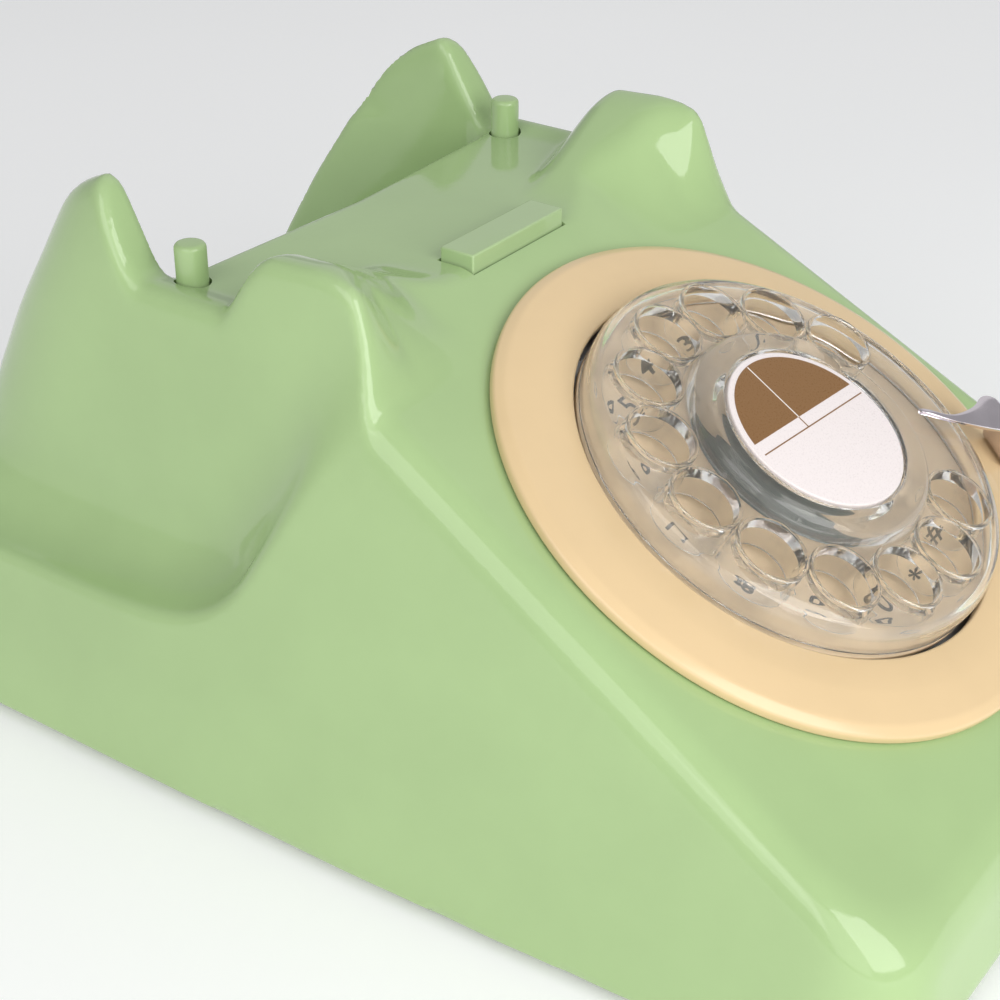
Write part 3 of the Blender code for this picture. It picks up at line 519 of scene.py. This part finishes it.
def surface(skin, low, high, cell):
    """Points and faces of the surface where skin is zero: one point in each cell it crosses."""
    counts = [int(math.ceil((high[i] - low[i]) / cell)) + 1 for i in range(3)]
    grid = np.meshgrid(*[low[i] + cell * np.arange(counts[i]) for i in range(3)], indexing="ij")
    value = skin(*grid)
    inside = value < 0
    corners = [(i, j, k) for i in (0, 1) for j in (0, 1) for k in (0, 1)]
    spans = [count - 1 for count in counts]
    corner_sum = sum(inside[i:spans[0] + i, j:spans[1] + j, k:spans[2] + k].astype(int)
                     for i, j, k in corners)
    crossed = (corner_sum > 0) & (corner_sum < 8)
    index = np.full(crossed.shape, -1)
    index[crossed] = np.arange(crossed.sum())
    cells = np.stack(np.nonzero(crossed), 1)
    points = np.zeros((len(cells), 3))
    hits = np.zeros(len(cells))
    for i, first in enumerate(corners):
        for second in corners[i + 1:]:
            step = np.subtract(second, first)
            if np.abs(step).sum() != 1:
                continue
            start = value[tuple((cells + first).T)]
            end = value[tuple((cells + second).T)]
            meets = (start < 0) != (end < 0)
            share = np.where(meets, start / np.where(meets, start - end, 1.0), 0.0)
            points += meets[:, None] * (np.array(first) + step * share[:, None])
            hits += meets
    points = np.array(low) + cell * (cells + points / hits[:, None])
    faces = []
    for axis in range(3):
        step = np.eye(3, dtype=int)[axis]
        ends = [slice(0, counts[i] - step[i]) for i in range(3)]
        starts = [slice(step[i], counts[i]) for i in range(3)]
        edge = np.stack(np.nonzero(inside[tuple(ends)] != inside[tuple(starts)]), 1)
        across, along = [i for i in range(3) if i != axis]
        ring = []
        for a, b in ((0, 0), (1, 0), (1, 1), (0, 1)):
            cell_index = edge.copy()
            cell_index[:, across] -= a
            cell_index[:, along] -= b
            ring.append(index[tuple(cell_index.T)])
        ring = np.stack(ring, 1)
        leaving = inside[tuple(edge.T)]
        flip = leaving if axis == 1 else ~leaving
        ring[flip] = ring[flip][:, ::-1]
        faces.append(ring)
    return points, np.concatenate(faces)


def settle(skin, points, rounds=3):
    """Move each point onto the surface where skin is zero."""
    reach, least = 0.00002, 0.05
    for _ in range(rounds):
        slope = np.stack([(skin(*(points + step).T) - skin(*(points - step).T)) / (2 * reach)
                          for step in np.eye(3) * reach], 1)
        size = np.maximum((slope * slope).sum(1), least)
        points = points - slope * (skin(*points.T) / size)[:, None]
    return points


def evened(points, faces):
    """Each point moved halfway to the mean of its neighbours."""
    total, count = np.zeros_like(points), np.zeros(len(points))
    for side in range(4):
        first, second = faces[:, side], faces[:, (side + 1) % 4]
        for here, there in ((first, second), (second, first)):
            np.add.at(total, here, points[there])
            np.add.at(count, here, 1)
    return 0.5 * points + 0.5 * total / count[:, None]


def skin_piece(name, skin, cell):
    """The surface where skin is zero as a piece, with even faces, at its place on the telephone."""
    points, faces = surface(skin, GRID_LOW, GRID_HIGH, cell)
    points = settle(skin, points)
    for _ in range(4):
        points = settle(skin, evened(points, faces), 2)
    return mesh_piece(name, points + np.array(DIAL_CENTRE), faces)


def node_middle(node):
    low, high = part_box(node)
    return (low + high) / 2


def upright(name, radius, low, high, middle, steps=48):
    """A cylinder along z at a place in plan."""
    obj = turned(name, [(0, high), (radius, high), (radius, low), (0, low)], steps)
    obj.data.transform(Matrix.Translation((middle.x, middle.y, 0)))
    return obj


def cutter(name, radius, reach, steps):
    """A cylinder round z from -reach to reach."""
    return turned(name, [(0, reach), (radius, reach), (radius, -reach), (0, -reach)], steps)


def make_case():
    """The hollow case with its dial opening, plunger holes, bar slot and cord inlets."""
    case = skin_piece("case_moulding", case_skin, CASE_CELL)
    boolean(case, skin_piece("room", room_skin, ROOM_CELL))
    opening = cutter("opening", DIAL_OPENING, 0.02, 128)
    opening.data.transform(DIAL)
    boolean(case, opening)
    for node in ("plunger_left", "plunger_right"):
        boolean(case, upright("hole", PLUNGER_HOLE, 0.069, 0.105, node_middle(node)))
    low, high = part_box("recall_button")
    half = BAR_HALF + BAR_GAP
    outline = rectangle(-half, low.y - BAR_GAP, half, high.y + BAR_GAP)
    boolean(case, prism("slot", outline, 0.086, 0.098))
    for node in ("line_cord_gland", "handset_cord_gland"):
        inlet = cutter("inlet", INLET_RADIUS, 0.012, 48)
        inlet.data.transform(Matrix.Translation(node_middle(node))
                             @ Matrix.Rotation(-math.pi / 2, 4, "X"))
        boolean(case, inlet)
    smooth(case, 50)
    show(case, BODY, LOOKS["case_plastic"], ["case_shell"])


def make_press_pieces():
    """The two cradle plungers and the press bar, in the case's plastic.

    A plunger's foot tapers, so that it clears the hook lever under it.
    """
    sliver, end_round = 0.0001, 0.0011
    for node, body in (("plunger_left", "left_plunger"), ("plunger_right", "right_plunger")):
        low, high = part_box(node)
        middle = node_middle(node)
        side = rounded([(sliver, high.z), (PLUNGER_RADIUS, high.z - sliver),
                        (PLUNGER_RADIUS, low.z + PLUNGER_FOOT)], end_round, 8)
        profile = [(0, high.z)] + side[1:] + [(PLUNGER_FOOT, low.z), (0, low.z)]
        pin = turned(node + "_cap", profile, 64)
        show(pin, body, LOOKS["case_plastic"], [node],
             Matrix.Translation((middle.x, middle.y, 0)))
    low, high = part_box("recall_button")
    outline = rectangle(-BAR_HALF, low.y, BAR_HALF, high.y)
    bar = bevelled(prism("press_bar", outline, low.z, high.z), 0.00035)
    show(bar, "recall", LOOKS["case_plastic"], ["recall_button"])


# ---- dial --------------------------------------------------------------------------------------
def hole_places():
    """The middle of each finger hole, in the dial's plane."""
    for i in range(HOLE_COUNT):
        angle = FIRST_HOLE + i * HOLE_STEP
        yield HOLE_CIRCLE * math.cos(angle), HOLE_CIRCLE * math.sin(angle)


def make_surround():
    profile = rounded_loop([
        (0.0435, 0.0016), (0.0500, 0.0013), (0.0565, 0.0005), (0.0585, -0.0006),
        (0.0585, -0.0025), (0.0485, -0.0025), (0.0485, -0.0090), (0.0465, -0.0090),
        (0.0465, -0.0015), (0.0435, -0.0015)], 0.0006)
    ring = turned("dial_ring", profile, 192, closed=True)
    show(ring, BODY, LOOKS["ring_plastic"], ["dial_surround"], DIAL)


def make_number_plate():
    """The plate under the wheel, with one digit or sign at the middle of each finger hole."""
    profile = rounded_loop([
        (0.0090, 0.0003), (0.0426, 0.0003), (0.0426, -0.0008), (0.0090, -0.0008)], 0.0002)
    plate = turned("number_disc", profile, 128, closed=True)
    show(plate, BODY, LOOKS["plate_plastic"], ["number_plate"], DIAL)
    marks = []
    for character, (x, y) in zip("1234567890*#", hole_places()):
        mark = character_mesh("mark", character, DIGIT_SIZE, DIGIT_DEPTH)
        mark.matrix_world = Matrix.Translation((x, y, DIGIT_HEIGHT))
        marks.append(mark)
    show(joined("dial_digits", marks), BODY, BLACK_INK, (), DIAL)


def make_wheel():
    """The clear wheel: a thin rim and face with a collar round the label, and twelve tubes."""
    profile = rounded_loop([
        (0.0060, 0.0102), (0.0187, 0.0102), (0.0187, 0.0123), (0.0200, 0.0126), (0.0228, 0.0125),
        (0.0241, 0.0115), (0.0250, 0.0087), (0.0398, 0.0085), (0.0418, 0.0073), (0.0427, 0.0048),
        (0.0427, 0.0012), (0.0414, 0.0012), (0.0411, 0.0046), (0.0400, 0.0063), (0.0197, 0.0066),
        (0.0188, 0.0083), (0.0060, 0.0083)], 0.0005, 3)
    wheel = turned("clear_wheel", profile, 160, closed=True)
    tubes, holes = [], []
    side = rounded([(TUBE_INNER, TUBE_TOP), (TUBE_OUTER, TUBE_TOP), (TUBE_OUTER, TUBE_LOW),
                    (TUBE_INNER, TUBE_LOW)], 0.0004)
    tube = [(0, TUBE_TOP)] + side + [(0, TUBE_LOW)]
    bore = [(0, 0.0100), (0.0068, 0.0100), (0.0066, TUBE_TOP), (0.0063, 0.0091),
            (TUBE_INNER, 0.0086), (TUBE_INNER, 0.0028), (0.0064, TUBE_LOW), (0.0064, 0.0015),
            (0, 0.0015)]
    for x, y in hole_places():
        for outline, group in ((tube, tubes), (bore, holes)):
            obj = turned("part", outline, TUBE_STEPS)
            obj.data.transform(Matrix.Translation((x, y, 0)))
            group.append(obj)
    boolean(wheel, joined("tubes", tubes), "UNION")
    boolean(wheel, joined("holes", holes))
    smooth(wheel, 32)
    show(wheel, WHEEL, LOOKS["clear_plastic"], ["finger_wheel"], DIAL)


def circle_part(radius, low_y, steps=72):
    """The outline of the part of a disc above the line y = low_y."""
    start = math.asin(low_y / radius)
    angles = [start + (math.pi - 2 * start) * i / steps for i in range(steps + 1)]
    return [(radius * math.cos(angle), radius * math.sin(angle)) for angle in angles]


def make_label():
    """White card with a brown field and its white divider, and a ruled line with a tick below."""
    turn = DIAL @ Matrix.Rotation(LABEL_TURN, 4, "Z")
    radius, under = 0.0182, 0.0105
    side = rounded([(0.0010, LABEL_TOP), (radius, LABEL_TOP), (radius, under)], 0.0004)
    face = turned("label_face", [(0, LABEL_TOP)] + side + [(0, under)], 128)
    show(face, WHEEL, LOOKS["label_card"], ["label_disc"], turn)
    half, field_radius, field_low = 0.00012, 0.0169, 0.0034
    printed_top = LABEL_TOP + INK
    field = prism("label_field", circle_part(field_radius, field_low), LABEL_TOP, printed_top)
    show(field, WHEEL, BROWN_INK, (), turn)
    divider_x, divider_top = -0.0018, 0.0166
    outline = rectangle(divider_x - half, field_low, divider_x + half, divider_top)
    divider = prism("label_divider", outline, LABEL_TOP, LABEL_TOP + 2 * INK)
    show(divider, WHEEL, WHITE_INK, (), turn)
    rule_start, rule_end, rule_y = -0.0166, 0.0172, 0.0008
    outline = rectangle(rule_start, rule_y - half, rule_end, rule_y + half)
    rule = prism("label_rule", outline, LABEL_TOP, printed_top)
    outline = rectangle(divider_x - half, rule_y, divider_x + half, field_low)
    tick = prism("label_tick", outline, LABEL_TOP, printed_top)
    show(joined("label_rules", [rule, tick]), WHEEL, BROWN_INK, (), turn)


def make_hub():
    profile = rounded_loop([
        (0.0033, 0.0080), (0.0152, 0.0080), (0.0158, 0.0010), (0.0033, 0.0010)], 0.0005)
    core = turned("hub_core", profile, 96, closed=True)
    show(core, WHEEL, LOOKS["hub_plastic"], ["dial_hub"], DIAL)


def make_finger_stop():
    """A chromed leaf: a tongue in over the wheel, a bend outside the wheel and a foot on the ring.

    It runs out from the tongue's tip in rows. Each row has its near and its far edge and a height.
    """
    rows = [
        ((0.0284, -0.0099), (0.0290, -0.0092), 0.0103),
        ((0.0287, -0.0111), (0.0299, -0.0103), 0.0111),
        ((0.0305, -0.0136), (0.0317, -0.0130), 0.0112),
        ((0.0328, -0.0160), (0.0340, -0.0147), 0.0112),
        ((0.0347, -0.0177), (0.0364, -0.0154), 0.0112),
        ((0.0366, -0.0194), (0.0397, -0.0160), 0.0112),
        ((0.0386, -0.0212), (0.0425, -0.0161), 0.0112),
        ((0.0407, -0.0230), (0.0447, -0.0155), 0.0113),
        ((0.0424, -0.0246), (0.0466, -0.0158), 0.0114),
    ]
    bend_and_foot = (  # radius, the near and the far edge in degrees, height
        (0.0511, -30.6, -19.6, 0.0114),
        (0.0530, -31.0, -20.6, 0.0106),
        (0.0539, -31.2, -21.4, 0.0084),
        (0.0543, -31.2, -21.8, 0.0034),
        (0.0552, -31.2, -22.0, 0.0021),
        (0.0570, -30.6, -22.6, 0.0018),
    )
    for radius, near, far, height in bend_and_foot:
        ends = [(radius * math.cos(math.radians(turn)), radius * math.sin(math.radians(turn)))
                for turn in (near, far)]
        rows.append((ends[0], ends[1], height))
    across, edge_drop = 6, 0.0003
    points, faces = [], []
    for near, far, height in rows:
        for j in range(-across, across + 1):
            side = j / across
            share = 0.5 + 0.5 * side
            points.append((near[0] + (far[0] - near[0]) * share,
                           near[1] + (far[1] - near[1]) * share, height - edge_drop * side ** 4))
    row = 2 * across + 1
    for i in range(len(rows) - 1):
        for j in range(row - 1):
            corner = i * row + j
            faces.append([corner, corner + row, corner + row + 1, corner + 1])
    leaf = mesh_piece("finger_stop_leaf", points, faces)
    solid = leaf.modifiers.new("thickness", "SOLIDIFY")
    solid.thickness = STOP_THICKNESS
    solid.offset = -1
    soft = leaf.modifiers.new("soft", "SUBSURF")
    soft.levels = 2
    soft.render_levels = 2
    leaf.data.shade_smooth()
    show(leaf, BODY, LOOKS["bright_chrome"], ["finger_stop"], DIAL)


# ---- CAD nodes that stay -----------------------------------------------------------------------
def dress_cad():
    """Give each CAD node that is shown its material. The nodes' slots come from the frame."""
    slots = {part["node"]: part["material_slot"] for part in frame["record"]["subparts"]}
    for name, obj in frame["nodes"].items():
        obj.data.materials.clear()
        obj.data.materials.append(LOOKS[slots[name]])


# ---- stage -------------------------------------------------------------------------------------
def area_light(name, place, target, size, power):
    light = bpy.data.lights.new(name, "AREA")
    light.shape = "SQUARE"
    light.size = size
    light.energy = power
    obj = bpy.data.objects.new(name, light)
    obj.location = place
    obj.rotation_euler = (Vector(target) - Vector(place)).to_track_quat("-Z", "Y").to_euler()
    scene.collection.objects.link(obj)


def make_stage():
    corners = rectangle(-FLOOR_HALF, -FLOOR_HALF, FLOOR_HALF, FLOOR_HALF)
    floor = mesh_piece("floor", [(x, y, 0) for x, y in corners], [(0, 1, 2, 3)])
    floor_look, tree, shader = principled("floor", (0.93, 0.93, 0.93), 0.9)
    grain = texture(tree, "ShaderNodeTexNoise", 3, Detail=2)
    grey = spread(tree, grain.outputs["Fac"], 0, 1)
    mixed = tint(tree, grey, (0.92, 0.92, 0.92), (0.94, 0.94, 0.94))
    tree.links.new(mixed, shader.inputs["Base Color"])
    shader.inputs["Emission Color"].default_value = (1, 1, 1, 1)
    shader.inputs["Emission Strength"].default_value = 0.12
    floor.data.materials.append(floor_look)
    world = bpy.data.worlds.new("studio")
    world.use_nodes = True
    background = world.node_tree.nodes["Background"]
    background.inputs["Color"].default_value = (0.97, 0.985, 1.0, 1.0)
    background.inputs["Strength"].default_value = 0.42
    scene.world = world
    for name, turn, lift, distance, size, power in LIGHTS:
        turn, lift = math.radians(turn), math.radians(lift)
        away = Vector((math.cos(turn) * math.cos(lift), math.sin(turn) * math.cos(lift),
                       math.sin(lift)))
        area_light(name, LIT_POINT + away * distance, LIT_POINT, size, power)


def make_camera():
    data = bpy.data.cameras.new("camera")
    data.sensor_width = 36.0
    data.lens = CAMERA_LENS
    data.shift_y = CAMERA_SHIFT
    data.clip_start = 0.01
    camera = bpy.data.objects.new("camera", data)
    camera.location = CAMERA_PLACE
    camera.rotation_euler = (CAMERA_PITCH, 0, CAMERA_TURN)
    scene.collection.objects.link(camera)
    scene.camera = camera


make_camera()
make_stage()
dress_cad()
make_case()
make_press_pieces()
make_surround()
make_number_plate()
make_wheel()
make_label()
make_hub()
make_finger_stop()

bpy.context.view_layer.update()
